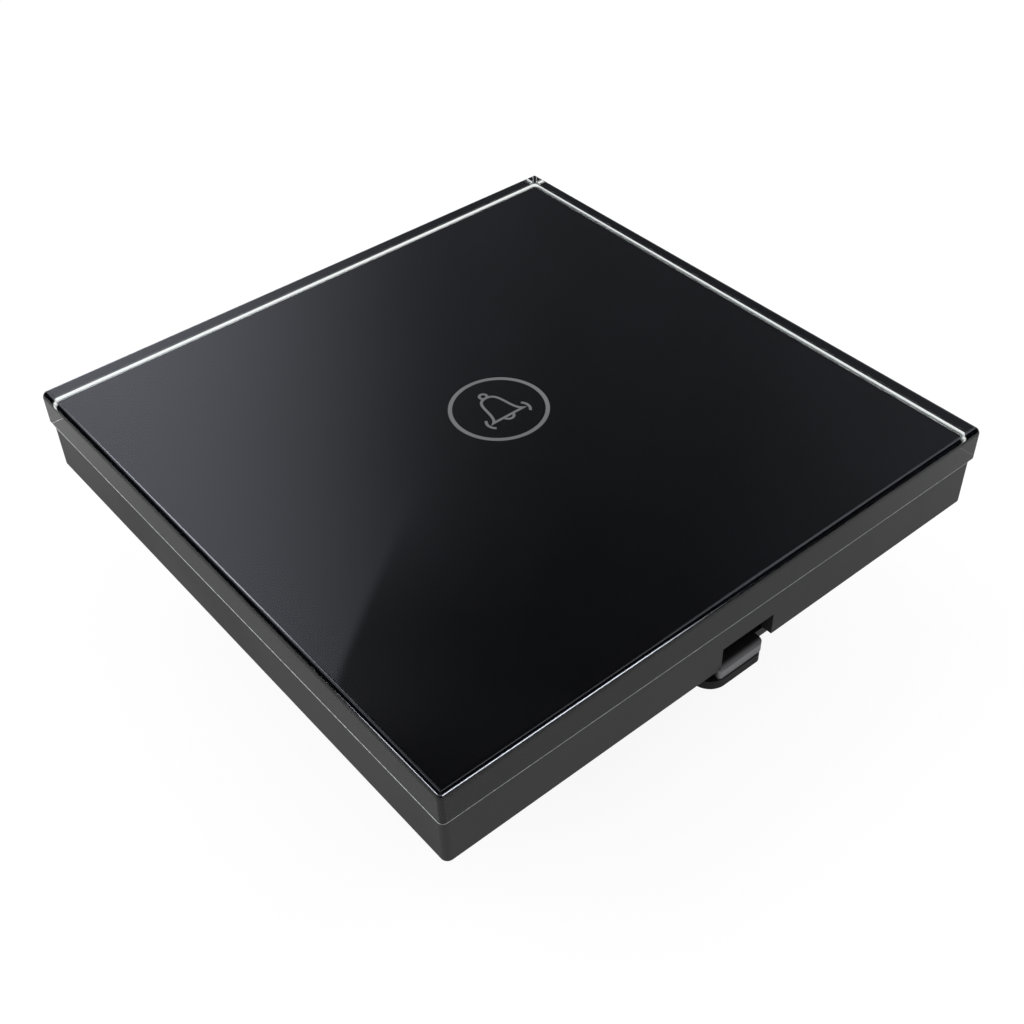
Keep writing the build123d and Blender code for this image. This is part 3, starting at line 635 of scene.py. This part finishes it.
@dataclass(frozen=True)
class Surroundings:
    """What a gloss sees round the object: a wide soft panel, softboxes, a dim room and black flags.

    The panel stands behind the object on the left. It fades towards the right, with a faint tail. High up a
    slanted screen dims it beyond a sharp edge, and then it ends. Each tuple of numbers is a step: the degrees
    at which it starts and ends, and then the levels there, where they aren't 0 and 1.

    Attributes:
        fade: Panel's step down towards the right.
        lean: Degrees by which that step moves for a degree of height.
        tail: Step down of the faint tail.
        far_side: Step up at the panel's far side.
        slant: Degrees by which the screen's edge moves for a degree of height.
        edge: Step at the screen's edge.
        screen: Share that the screen holds back, stepping up with the height.
        top: Step down at the panel's top.
        veil: Gauze in front of the panel.
        glow: Level of the room, stepping down with the height.
        right: Level that its right side adds.
        right_top: Step down at the top of that side.
        ceiling: Share of the level that is left towards the ceiling.
        flags: Black flags, which stand where the bevels of the glass look.
        softboxes: Narrow softboxes for the rounded edges of the glass, and a faint strip high on the right.
    """

    fade: tuple = (34.0, 14.0, 0.0, 1.2)
    lean: float = -0.1
    tail: tuple = (43.0, 36.0, 0.0, 0.06)
    far_side: tuple = (-34.0, -14.0)
    slant: float = 0.84
    edge: tuple = (68.2, 69.2)
    screen: tuple = (40.0, 47.0, 0.0, 0.75)
    top: tuple = (53.0, 49.0)
    veil: Card = Card((-40.0, 12.0), (15.0, 40.0), 0.95, 4.0)
    glow: tuple = (32.0, 50.0, 0.14, 0.055)
    right: tuple = (48.0, 62.0, 0.0, 0.11)
    right_top: tuple = (50.0, 42.0)
    ceiling: tuple = (52.0, 60.0, 1.0, 0.1)
    flags: tuple = (
        Card((-68.0, -33.0), (1.0, 21.5)),
        Card((124.0, 168.0), (21.0, 36.0)),
        Card((96.0, 147.5), (1.0, 21.0)),
    )
    softboxes: tuple = (
        Card((-64.0, -55.6), (3.0, 12.0), 1.8, 0.6),
        Card((148.2, 181.0), (6.0, 21.0), 2.2),
        Card((-181.0, -172.0), (6.0, 21.0), 2.2),
        Card((70.0, 122.0), (48.0, 56.0), 0.14, 2.0),
    )

    def shine(self, tree: Tree) -> Value:
        """Work out the level from the degrees round from the back and the degrees above the level.

        The softboxes are kept from mirror-sharp reflections, so that the flat faces of the glass never show
        them, and from reflections that a diffuse surface sees.
        """
        x, y, z = add_node(tree, "ShaderNodeTexCoord", {})["Generated"].parts()
        turn = x.do("ARCTAN2", y).do("DEGREES")
        lift = z.do("ARCSINE").do("DEGREES")
        fade = (lift * self.lean + turn).step(*self.fade) + turn.step(*self.tail)
        screened = (lift * self.slant + turn).step(*self.edge) * lift.step(*self.screen)
        panel = fade * turn.step(*self.far_side) * (1.0 - screened) * lift.step(*self.top)
        panel = panel * (1.0 - self.veil.mark(turn, lift) * self.veil.level)
        right = turn.step(*self.right) * lift.step(*self.right_top)
        room = (lift.step(*self.glow) + right) * lift.step(*self.ceiling)
        for flag in self.flags:
            room = room * (1.0 - flag.mark(turn, lift))
        rays = add_node(tree, "ShaderNodeLightPath", {})
        shown = rays["Diffuse Depth"].do("LESS_THAN", 0.5) * (1.0 - rays["Is Singular Ray"])
        for box in self.softboxes:
            room = room + box.mark(turn, lift) * box.level * shown
        return panel + room


@dataclass
class Studio:
    """White studio: pale floor, soft lamps, what the gloss sees round the object, and the camera.

    Attributes:
        floor_mm: Level of the floor.
        floor_side: Side of the floor in metres.
        floor_glow: Level of the floor to the camera.
        floor_share: Share of glow in what camera and gloss see of it. The rest is lit paper.
        floor_gloss: Level of the floor in gloss, close to the object and far from it.
        shade_mm: Half side of the floor's dimmest square, and distances from it between which it brightens.
        plain: World's level on diffuse surfaces.
        tint: Colour of the studio in gloss, a little cold as daylight is.
        lamps: Name, place in metres, side in metres and power in watts of each lamp.
        azimuth: Camera's direction round the object from the front, in degrees.
        elevation: Camera's height above the level in degrees.
        roll: Camera's tilt about its line of sight in degrees.
        aim_mm: Point that the line of sight goes through.
        distance_mm: Camera's distance from that point.
        lens: Focal length on a sensor 36 wide.
        surroundings: What the gloss sees.
    """

    floor_mm: float = -24.0
    floor_side: float = 6.0
    floor_glow: float = 1.06
    floor_share: float = 0.85
    floor_gloss: tuple = (0.3, 0.52)
    shade_mm: tuple = (40.0, 10.0, 55.0)
    plain: float = 0.45
    tint: tuple = (0.93, 0.97, 1.09, 1.0)
    lamps: tuple = (
        ("lamp_above_left", (-0.35, 0.25, 0.6), 0.6, 2.5),
        ("lamp_front_right", (0.22, -0.32, 0.62), 0.4, 1.4),
    )
    azimuth: float = -38.844
    elevation: float = 42.431
    roll: float = -1.62
    aim_mm: tuple = (-10.246, -14.666, 13.2)
    distance_mm: float = 156.739
    lens: float = 49.93
    surroundings: Surroundings = Surroundings()

    def light_world(self) -> None:
        """Make the world: white to the camera and through glass, the studio to gloss, plain to the rest."""
        world = bpy.data.worlds.new("white_studio")
        world.use_nodes = True
        tree = world.node_tree
        tree.nodes.clear()
        rays = add_node(tree, "ShaderNodeLightPath", {})
        white = rays["Is Camera Ray"].do("MAXIMUM", rays["Is Transmission Ray"])
        gloss = rays["Is Glossy Ray"]
        level = white.mix(gloss.mix(self.plain, self.surroundings.shine(tree)), 1.0)
        colour = (gloss - white).blend(WHITE, self.tint)
        sky = add_node(tree, "ShaderNodeBackground", {"Color": colour, "Strength": level})
        add_node(tree, "ShaderNodeOutputWorld", {"Surface": sky[0]})
        bpy.context.scene.world = world

    def lay_floor(self) -> None:
        """Lay the floor: pale, white to the camera, with the object's shadow kept in it.

        In gloss it is dimmer, and dimmest beside the object, as its own shade makes a real floor.
        """
        half = self.floor_side / 2
        corners = ((-half, -half), (half, -half), (half, half), (-half, half))
        mesh = bpy.data.meshes.new("studio_floor")
        mesh.from_pydata([(x, y, self.floor_mm * MM) for x, y in corners], [], [(0, 1, 2, 3)])
        floor = stand("studio_floor", mesh)
        material = bpy.data.materials.new("pale_floor")
        material.use_nodes = True
        tree = material.node_tree
        tree.nodes.clear()
        rays = add_node(tree, "ShaderNodeLightPath", {})
        through, gloss = rays["Is Transmission Ray"], rays["Is Glossy Ray"]
        seen = rays["Is Camera Ray"].do("MAXIMUM", through).do("MAXIMUM", gloss)
        where = add_node(tree, "ShaderNodeTexCoord", {})["Object"]
        paper = where.noise(40.0).blend("#F4F4F4", "#F8F8F8")
        matt = add_node(tree, "ShaderNodeBsdfDiffuse", {"Color": paper})
        square, near, far = (distance * MM for distance in self.shade_mm)
        x, y, _ = where.parts()
        away = length(*((abs(v) - square).do("MAXIMUM", 0.0) for v in (x, y)))
        level = (gloss - through).mix(self.floor_glow, away.step(near, far, *self.floor_gloss))
        shine = add_node(tree, "ShaderNodeEmission", {"Color": WHITE, "Strength": level})
        inputs = {0: seen * self.floor_share, 1: matt[0], 2: shine[0]}
        both = add_node(tree, "ShaderNodeMixShader", inputs)
        add_node(tree, "ShaderNodeOutputMaterial", {"Surface": both[0]})
        mesh.materials.append(material)

    def hang_lamp(self, name: str, place: tuple, size: float, power: float) -> None:
        """Hang one soft square lamp that faces the object and shows in no gloss.

        Args:
            name: The lamp's name.
            place: Place in metres.
            size: Side in metres.
            power: Power in watts.
        """
        data = bpy.data.lights.new(name, "AREA")
        data.size = size
        data.energy = power
        lamp = stand(name, data)
        lamp.location = place
        lamp.rotation_euler = Vector(place).to_track_quat("Z", "Y").to_euler()
        lamp.visible_glossy = False

    def place_camera(self) -> None:
        """Place the camera on its fitted line of sight and make it the scene's camera."""
        turn, lift, roll = (math.radians(v) for v in (self.azimuth, self.elevation, self.roll))
        back = np.array([math.sin(turn) * math.cos(lift), -math.cos(turn) * math.cos(lift), math.sin(lift)])
        right = np.cross(-back, (0, 0, 1))
        right /= np.linalg.norm(right)
        up = np.cross(right, -back)
        right, up = right * math.cos(roll) + up * math.sin(roll), up * math.cos(roll) - right * math.sin(roll)
        place = (np.array(self.aim_mm) + back * self.distance_mm) * MM
        data = bpy.data.cameras.new("camera")
        data.lens = self.lens
        data.sensor_width = 36.0
        data.clip_start = 0.01
        data.clip_end = 20.0
        camera = stand("camera", data)
        rows = [[right[i], up[i], back[i], place[i]] for i in range(3)]
        camera.matrix_world = Matrix(rows + [[0, 0, 0, 1]])
        bpy.context.scene.camera = camera

    def build(self) -> None:
        """Build the whole studio."""
        self.place_camera()
        self.light_world()
        self.lay_floor()
        for lamp in self.lamps:
            self.hang_lamp(*lamp)
        bpy.context.scene.view_settings.view_transform = "Standard"


def stand(name: str, data: bpy.types.ID) -> bpy.types.Object:
    """Make an object of some data in the scene."""
    thing = bpy.data.objects.new(name, data)
    bpy.context.scene.collection.objects.link(thing)
    return thing


def dress(node: str, finish: Finish) -> None:
    """Give a solid its finish in all its material slots.

    Args:
        node: Name of the solid.
        finish: Finish that it gets.
    """
    thing = frame["nodes"][node]
    material = bpy.data.materials.get(finish.name) or finish.material()
    if not thing.material_slots:
        thing.data.materials.append(material)
    for slot in thing.material_slots:
        slot.material = material
    log.info("%s wears %s", node, finish.name)


@dataclass
class Surface:
    """A closed surface on a grid of points. The first parameter comes back to its start.

    Attributes:
        points: Points in millimetres, first index along the first parameter, second along the second.
        normals: Exact normals at the points, or None to have them worked out from the faces.
        ring: Whether the second parameter also comes back to its start. If not, a point closes each end.
    """

    points: np.ndarray
    normals: Optional[np.ndarray] = None
    ring: bool = False

    def mesh(self, first: int) -> tuple[np.ndarray, Optional[np.ndarray], list]:
        """Turn the grid into points and faces that look outwards.

        Each quad joins neighbours on the grid, and each triangle joins an end's edge to the point in its
        middle. The sum of the corner triple products is six times the volume, and a negative one turns all
        faces round.

        Args:
            first: Number that the first point gets.

        Returns:
            Points in metres, normals and faces.
        """
        index = np.arange(self.points.shape[0] * self.points.shape[1]).reshape(self.points.shape[:2])
        across = np.roll(index, -1, axis=0)
        if self.ring:
            sides = (index, across, np.roll(across, -1, axis=1), np.roll(index, -1, axis=1))
        else:
            sides = (index[:, :-1], across[:, :-1], across[:, 1:], index[:, 1:])
        quads = np.stack(sides, axis=-1).reshape(-1, 4)
        points = self.points.reshape(-1, 3) * MM
        normals = None if self.normals is None else self.normals.reshape(-1, 3)
        fans = np.empty((0, 3), int)
        if not self.ring:
            middles = self.points[:, [0, -1]].mean(axis=0) * MM
            tips = [np.full(len(index), index.size + end) for end in (0, 1)]
            fans = np.concatenate([
                np.stack([tips[0], across[:, 0], index[:, 0]], axis=-1),
                np.stack([tips[1], index[:, -1], across[:, -1]], axis=-1),
            ])
            points = np.concatenate([points, middles])
            if normals is not None:
                normals = np.concatenate([normals, self.normals[:, [0, -1]].mean(axis=0)])
        triples = np.concatenate([quads[:, :3], quads[:, [0, 2, 3]], fans])
        corners = points[triples] - points.mean(axis=0)
        if np.einsum("ij,ij->", corners[:, 0], np.cross(corners[:, 1], corners[:, 2])) < 0:
            quads, fans = quads[:, ::-1], fans[:, ::-1]
        return points, normals, (quads + first).tolist() + (fans + first).tolist()


def eased(corners: list, radii: tuple, steps: int = 5) -> tuple[np.ndarray, np.ndarray]:
    """Round the inner corners of a profile with true arcs.

    The centre of an arc lies behind its corner by the radius times the sum of the two sides' normals, divided
    by one plus their dot product. The arc's points are the centre plus the radius times the turning normal.

    Args:
        corners: Profile's corners as (outwards, up), in an order that keeps the solid on the right.
        radii: Radius at each inner corner.
        steps: Steps in each arc.

    Returns:
        Points of the profile and the normals at them.
    """
    path = np.array(corners, float)
    run = np.diff(path, axis=0)
    run /= np.linalg.norm(run, axis=1, keepdims=True)
    outward = np.stack([-run[:, 1], run[:, 0]], axis=1)
    points, normals = [path[:1]], [outward[:1]]
    for corner, before, after, radius in zip(path[1:-1], outward[:-1], outward[1:], radii):
        start, end = np.arctan2(before[1], before[0]), np.arctan2(after[1], after[0])
        end -= 2 * np.pi * np.round((end - start) / (2 * np.pi))
        angle = np.linspace(start, end, steps + 1)
        normal = np.stack([np.cos(angle), np.sin(angle)], axis=1)
        middle = corner - radius * (before + after) / (1 + before @ after)
        points.append(middle + radius * normal)
        normals.append(normal)
    return np.concatenate(points + [path[-1:]]), np.concatenate(normals + [outward[-1:]])


def squared(
    profile: np.ndarray, normals: Optional[np.ndarray], halves: tuple, corner: float, steps: int = 16
) -> Surface:
    """Carry a profile round a rectangle with rounded corners.

    At each point of the profile the rectangle has its half sides plus the outward distance, and so has the
    radius of its corners. A corner's points are its centre plus that radius times the turning direction.

    Args:
        profile: Profile's points as (outwards, up) in millimetres.
        normals: Normals at the profile's points, or None where the profile is a ring.
        halves: Half sides along x and y at no outward distance.
        corner: Radius of its corners there.
        steps: Steps in each corner.

    Returns:
        The closed surface.
    """
    turn = np.radians(np.linspace(0, 90, steps + 1) + np.array([[0], [90], [180], [270]])).reshape(-1, 1)
    way = np.concatenate([np.cos(turn), np.sin(turn)], axis=1)
    quarter = np.repeat(np.array([[1, 1], [-1, 1], [-1, -1], [1, -1]]), steps + 1, axis=0)
    least_radius = 0.004
    radius = np.maximum(corner + profile[:, 0], least_radius)
    middle = np.array(halves) + (profile[:, 0] - radius)[:, None]
    flat = quarter[:, None] * middle[None] + way[:, None] * radius[None, :, None]
    points = np.concatenate([flat, np.broadcast_to(profile[:, 1], flat.shape[:2])[..., None]], axis=2)
    if normals is None:
        return Surface(points, ring=True)
    level = way[:, None] * normals[None, :, :1]
    rise = np.broadcast_to(normals[:, 1], flat.shape[:2])[..., None]
    return Surface(points, np.concatenate([level, rise], axis=2))


def turned(profile: Any, foot: tuple, axis: tuple, ring: bool = False, steps: int = 24) -> Surface:
    """Turn a profile round an axis.

    A point is the foot, plus the profile's height along the axis, plus its radius times the cosine and the
    sine of the angle along the two directions square to the axis.

    Args:
        profile: Profile's points as (radius, height) in millimetres.
        foot: Point of the axis at no height, in millimetres.
        axis: Unit direction of the axis.
        ring: Whether the profile is closed, so that the surface is a ring.
        steps: Steps in a turn.

    Returns:
        The closed surface.
    """
    radius, height = np.array(profile, float).T
    up = np.array(axis, float)
    side = np.roll(up, 1)
    angle = np.linspace(0, 2 * np.pi, steps, endpoint=False)[:, None, None]
    spoke = np.cos(angle) * side + np.sin(angle) * np.cross(up, side)
    return Surface(np.array(foot) + height[None, :, None] * up + radius[None, :, None] * spoke, ring=ring)


def add_piece(name: str, surfaces: list, body: str, finish: Finish, stands_for: str = "") -> None:
    """Make one piece from closed surfaces, dress it and let it ride.

    Args:
        name: The piece's name.
        surfaces: Its closed surfaces.
        body: Body that it rides.
        finish: Finish that it gets.
        stands_for: Solid that it replaces, if any.
    """
    points, normals, faces = [], [], []
    count = 0
    for surface in surfaces:
        some, bent, joined = surface.mesh(count)
        points.append(some)
        normals.append(bent)
        faces += joined
        count += len(some)
    mesh = bpy.data.meshes.new(name)
    mesh.from_pydata(np.concatenate(points).tolist(), [], faces)
    mesh.shade_smooth()
    if normals[0] is None:
        mesh.set_sharp_from_angle(angle=math.radians(32))
    else:
        mesh.normals_split_custom_set_from_vertices(np.concatenate(normals).tolist())
    piece = stand(name, mesh)
    mesh.materials.append(bpy.data.materials.get(finish.name) or finish.material())
    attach(piece, body)
    if stands_for:
        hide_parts(stands_for)
    log.info("%s: %d points on %s", name, len(mesh.vertices), body)


@dataclass
class SubAssembly:
    """Solids of one sub-assembly with their finishes.

    Attributes:
        nodes: Solids that get the finish of their slot in the record.
        own: Solids with a pattern at their own place, each with its finish.
    """

    nodes: tuple = ()
    own: tuple = ()

    def build(self) -> None:
        """Build the pieces that the solids lack."""

    def dress(self) -> None:
        """Give each solid its finish."""
        slots = {part["node"]: part["material_slot"] for part in frame["record"]["subparts"]}
        for node in self.nodes:
            dress(node, FINISHES[slots[node]])
        for node, finish in self.own:
            dress(node, finish)


@dataclass
class GlassFront(SubAssembly):
    """Glass with its prints, tape and frame.

    Attributes:
        half_sides: Half sides of the glass along x and y.
        levels: Levels of its back and its face.
        corner: Radius of its upright edges.
        bevel: Width of the chamfer round the face.
        arris: Width of the small chamfer round the back.
        eases: Radius at each edge of the two chamfers, from the face down.
        bead: Half sides, level and radius of the bead of adhesive under the glass.
    """

    nodes: tuple = ("glass_panel", "back_print", "window_film", "pictogram", "adhesive_tape", "panel_frame")
    half_sides: tuple = (40.0, 40.0)
    levels: tuple = (8.697, 13.7)
    corner: float = 0.6
    bevel: float = 0.58
    arris: float = 0.5
    eases: tuple = (0.5, 0.95, 0.08, 0.08)
    bead: tuple = ((39.75, 39.61), 8.685, 0.1)

    def build(self) -> None:
        """Build the glass with its eased edges, and the bead of adhesive squeezed out under it.

        The profile starts and ends 2 mm inside the level faces, to give them their direction, and these two
        points are left off.
        """
        low, high = self.levels
        above = [(-2, high), (-self.bevel, high), (0, high - self.bevel)]
        below = [(0, low + self.arris), (-self.arris, low), (-2, low)]
        path, normals = eased(above + below, self.eases)
        glass = squared(path[1:-1], normals[1:-1], self.half_sides, self.corner)
        add_piece("glass_pane", [glass], "front_panel", FINISHES["clear_glass"], "glass_panel")
        half, level, radius = self.bead
        angle = np.linspace(0, 2 * np.pi, 10, endpoint=False)
        ring = np.stack([radius * np.cos(angle), level + radius * np.sin(angle)], axis=1)
        bead = squared(ring, None, half, self.corner)
        add_piece("adhesive_bead", [bead], "front_panel", FINISHES["clear_adhesive"])


@dataclass
class WallPlate(SubAssembly):
    """Strap, carrier and clips."""

    nodes: tuple = ("mounting_strap", "snap_clips")
    # The carrier's tongue gets painted light on its lip: a lighter grey towards its edge.
    own: tuple = (("base_carrier", MouldedWithPaintedLipLight(
        "satin_black_abs_with_painted_light_on_tongue", "#111112", "#18181A", 0.42, 0.22, 0.005
    )),)


@dataclass
class TouchBoard(SubAssembly):
    """Board that senses the finger, with what stands on it."""

    nodes: tuple = (
        "touch_board", "touch_electrode", "light_guide", "indicator_lamps", "touch_chip", "chip_parts",
        "board_header",
    )
    own: tuple = (("board_screws", Threaded(
        "plated_board_screws", spots_mm=(21.0, 21.0), shank_mm=(3.0, 7.2), pitch_mm=0.4, reach_mm=1.05
    )),)


@dataclass
class RearInsert(SubAssembly):
    """Rear housing and power board with its components.

    Attributes:
        board_top: Level of the power board's soldered side.
        leads: Places of the soldered leads.
        dome: Profile of a soldered joint with its lead's end, as (radius, height).
        can: Place, level and radius of the electrolytic capacitor's end.
        crown: Rise of the can's end over its level, and of its rim.
        vent: Half width and depth of the vent's crossed grooves, their reach as a share of the radius, and
            the length of their run-out.
    """

    nodes: tuple = (
        "rear_housing", "power_board", "relay", "transformer_base", "transformer_core", "transformer_winding",
        "film_capacitor", "electrolytic_capacitor", "varistor", "fuse", "board_socket",
    )
    own: tuple = (("housing_screws", Threaded(
        "plated_housing_screws", spots_mm=(16.5, 16.5), shank_mm=(-9.6, 2.4), pitch_mm=0.6, reach_mm=1.3
    )),)
    board_top: float = -4.4
    leads: tuple = (
        (-17.5, -4.0), (-17.5, 6.0), (-13.5, -4.0), (-13.5, 6.0), (-4.0, 1.0), (5.5, -4.5), (5.5, -1.5),
        (5.5, 1.5), (5.5, 4.5), (15.5, -4.5), (15.5, 4.5), (-3.8, 15.8), (5.8, 15.8), (11.1, 10.4),
        (13.7, 10.4), (-12.9, 12.4), (-7.9, 12.4), (5.6, -8.4), (17.4, -8.4), (-8.0, -10.9), (0.0, -10.9),
        (8.0, -10.9),
    )
    dome: tuple = (
        (1.05, -0.05), (1.0, 0.03), (0.68, 0.12), (0.47, 0.32), (0.37, 0.62), (0.3, 0.66), (0.3, 1.05),
        (0.18, 1.15),
    )
    can: tuple = (12.4, 10.4, -17.0, 2.7)
    crown: tuple = (0.14, -0.1)
    vent: tuple = (0.09, 0.1, 0.8, 0.3)

    def build(self) -> None:
        """Build the soldered joints on the board and the capacitor's aluminium end with its vent.

        A point of the end rises by the crown, less the groove's depth times a bell curve of its distance from
        the nearer groove, and the last ring drops to the rim.
        """
        joints = [turned(self.dome, (x, y, self.board_top), (0, 0, 1), steps=16) for x, y in self.leads]
        add_piece("soldered_joints", joints, "base", SOLDER)
        x, y, level, reach = self.can
        half_width, depth, share, run_out = self.vent
        crown, rim = self.crown
        radius = reach * np.concatenate([np.linspace(0.02, 0.97, 24), [1.0, 1.0]])
        end = turned(np.stack([radius, np.zeros(radius.size)], axis=1), (x, y, level), (0, 0, -1), steps=96)
        across = end.points - np.array([x, y, level])
        cut = np.exp(-(np.minimum(np.abs(across[..., 0]), np.abs(across[..., 1])) / half_width) ** 2)
        cut *= np.clip((share * reach - np.hypot(across[..., 0], across[..., 1])) / run_out, 0, 1)
        rise = crown - depth * cut
        rise[:, -1] = rim
        end.points[..., 2] = level - rise
        add_piece("capacitor_end", [end], "base", CAN)


@dataclass
class Terminals(SubAssembly):
    """Terminal block with its bars, cages and screws.

    Attributes:
        entries: Places along x of the terminals.
        mouth: Place along y and level of the wire entries.
        collar: Profile of the collar round an entry, as (radius, height).
    """

    nodes: tuple = ("terminal_block", "contact_bars", "clamp_cage_1", "clamp_cage_2", "clamp_cage_3")
    entries: tuple = (-8.0, 0.0, 8.0)
    own: tuple = tuple(
        (f"terminal_screw_{i}", Threaded(f"plated_terminal_screw_{i}", spots_mm=(x, -15.9),
                                         shank_mm=(-16.4, -11.9), reach_mm=1.55, mirrored=False))
        for i, x in enumerate(entries, start=1)
    )
    mouth: tuple = (-23.0, -8.9)
    collar: tuple = (
        (1.5, -0.05), (1.5, 0.08), (1.78, 0.34), (2.3, 0.36), (2.5, 0.24), (2.6, 0.02), (2.6, -0.05),
    )

    def build(self) -> None:
        """Build the raised collars that lead the wires in."""
        feet = [(x, *self.mouth) for x in self.entries]
        rings = [turned(self.collar, foot, (0, -1, 0), ring=True, steps=40) for foot in feet]
        add_piece("wire_entry_collars", rings, "base", FINISHES["terminal_plastic"])


def main() -> None:
    """Build the studio and each sub-assembly in order."""
    logging.basicConfig(level=logging.INFO, format="%(message)s")
    Studio().build()
    for assembly in (GlassFront(), WallPlate(), TouchBoard(), RearInsert(), Terminals()):
        assembly.build()
        assembly.dress()


if __name__ == "__main__":
    main()
